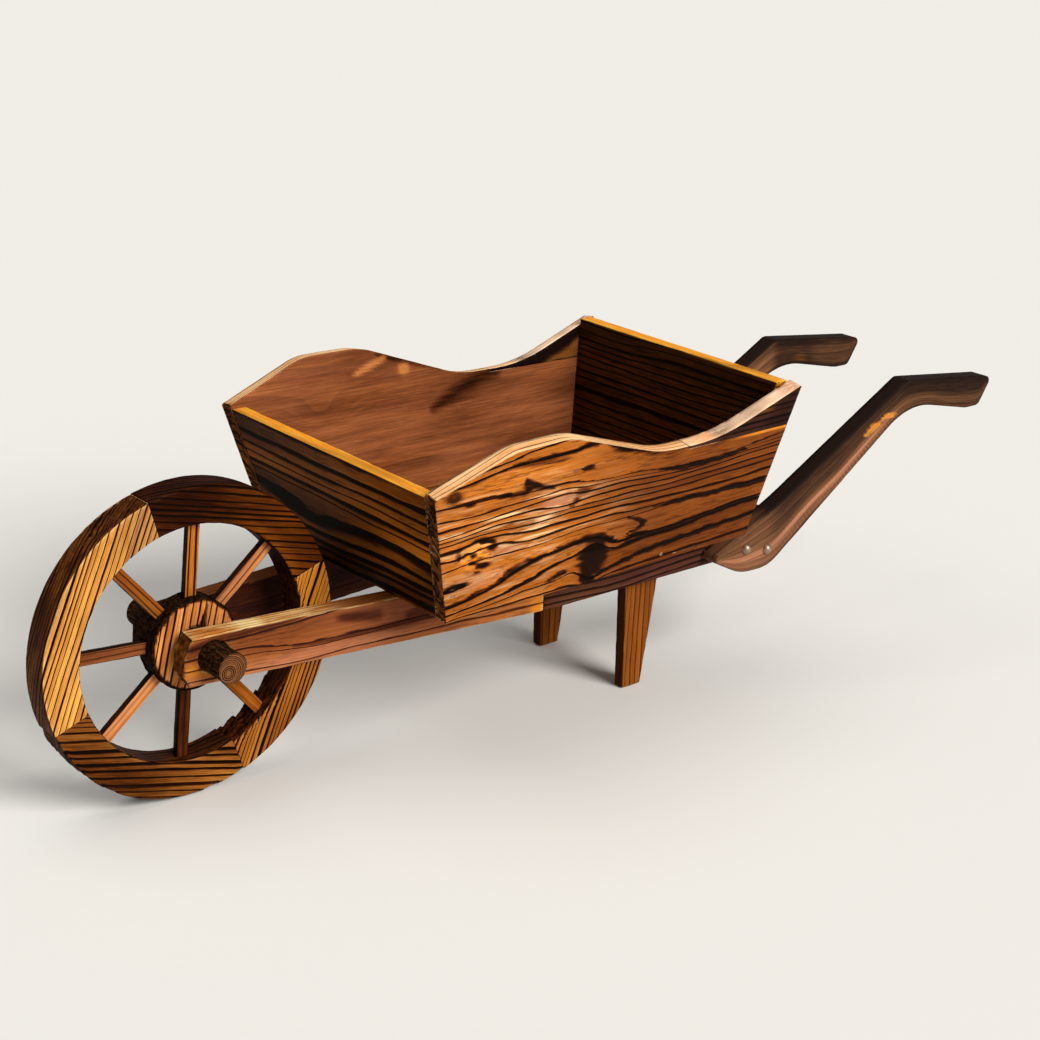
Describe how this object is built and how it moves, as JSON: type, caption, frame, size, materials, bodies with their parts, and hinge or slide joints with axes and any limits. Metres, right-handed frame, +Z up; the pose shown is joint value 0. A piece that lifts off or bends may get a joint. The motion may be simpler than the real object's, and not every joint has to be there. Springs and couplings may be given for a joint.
{
  "type": "decorative wooden wheelbarrow",
  "caption": "Small decorative wooden wheelbarrow planter: splayed board tray with wavy sides, spoked wheel on a log axle, two legs and two bent handles.",
  "frame": {"origin": "centre of the footprint's bounding box, on the ground", "axes": "+X from the wheel towards the handles, +Y to the right of a person who pushes it forwards along -X, +Z up"},
  "size_m": [1.0398, 0.3142, 0.3079],
  "materials": {
    "rim_wood": "torched fir, satin varnish",
    "rim_dark_wood": "torched fir, darker, satin varnish",
    "spoke_wood": "torched fir strip, satin varnish",
    "hub_wood": "torched log slice with charred bark edge",
    "axle_wood": "charred branch with ringed ends",
    "rail_wood": "torched fir, satin varnish",
    "beam_wood": "dark torched fir, satin varnish",
    "handle_wood": "dark torched fir, satin varnish",
    "leg_wood": "torched fir, satin varnish",
    "side_wood": "torched fir with knots, satin varnish",
    "horn_wood": "dark torched fir, satin varnish",
    "end_board_wood": "torched fir, satin varnish",
    "floor_wood": "torched fir, matt",
    "bolt_steel": "zinc plated, dulled",
    "nail_steel": "bright, dulled"
  },
  "bodies": {
    "frame": {"axle": "axle_wood", "rail_left": "rail_wood", "rail_right": "rail_wood", "beam_left": "beam_wood", "beam_right": "beam_wood", "handle_left": "handle_wood", "handle_right": "handle_wood", "leg_left": "leg_wood", "leg_right": "leg_wood", "side_left": "side_wood", "side_right": "side_wood", "horn_left": "horn_wood", "horn_right": "horn_wood", "front_board": "end_board_wood", "rear_board": "end_board_wood", "floor_left": "floor_wood", "floor_right": "floor_wood", "handle_bolts": "bolt_steel", "handle_nuts": "bolt_steel", "tray_nails": "nail_steel"},
    "wheel": {"felloe_upper": "rim_dark_wood", "felloe_front": "rim_wood", "felloe_lower": "rim_wood", "felloe_rear": "rim_wood", "spoke_1": "spoke_wood", "spoke_2": "spoke_wood", "spoke_3": "spoke_wood", "spoke_4": "spoke_wood", "spoke_5": "spoke_wood", "spoke_6": "spoke_wood", "spoke_7": "spoke_wood", "spoke_8": "spoke_wood", "hub": "hub_wood", "rim_nails": "nail_steel"}
  },
  "joints": [
    {"name": "wheel_spin", "type": "hinge", "parent": "frame", "child": "wheel", "pos_m": [-0.38491, 0, 0.135], "axis": [0, 1, 0], "continuous": true}
  ]
}
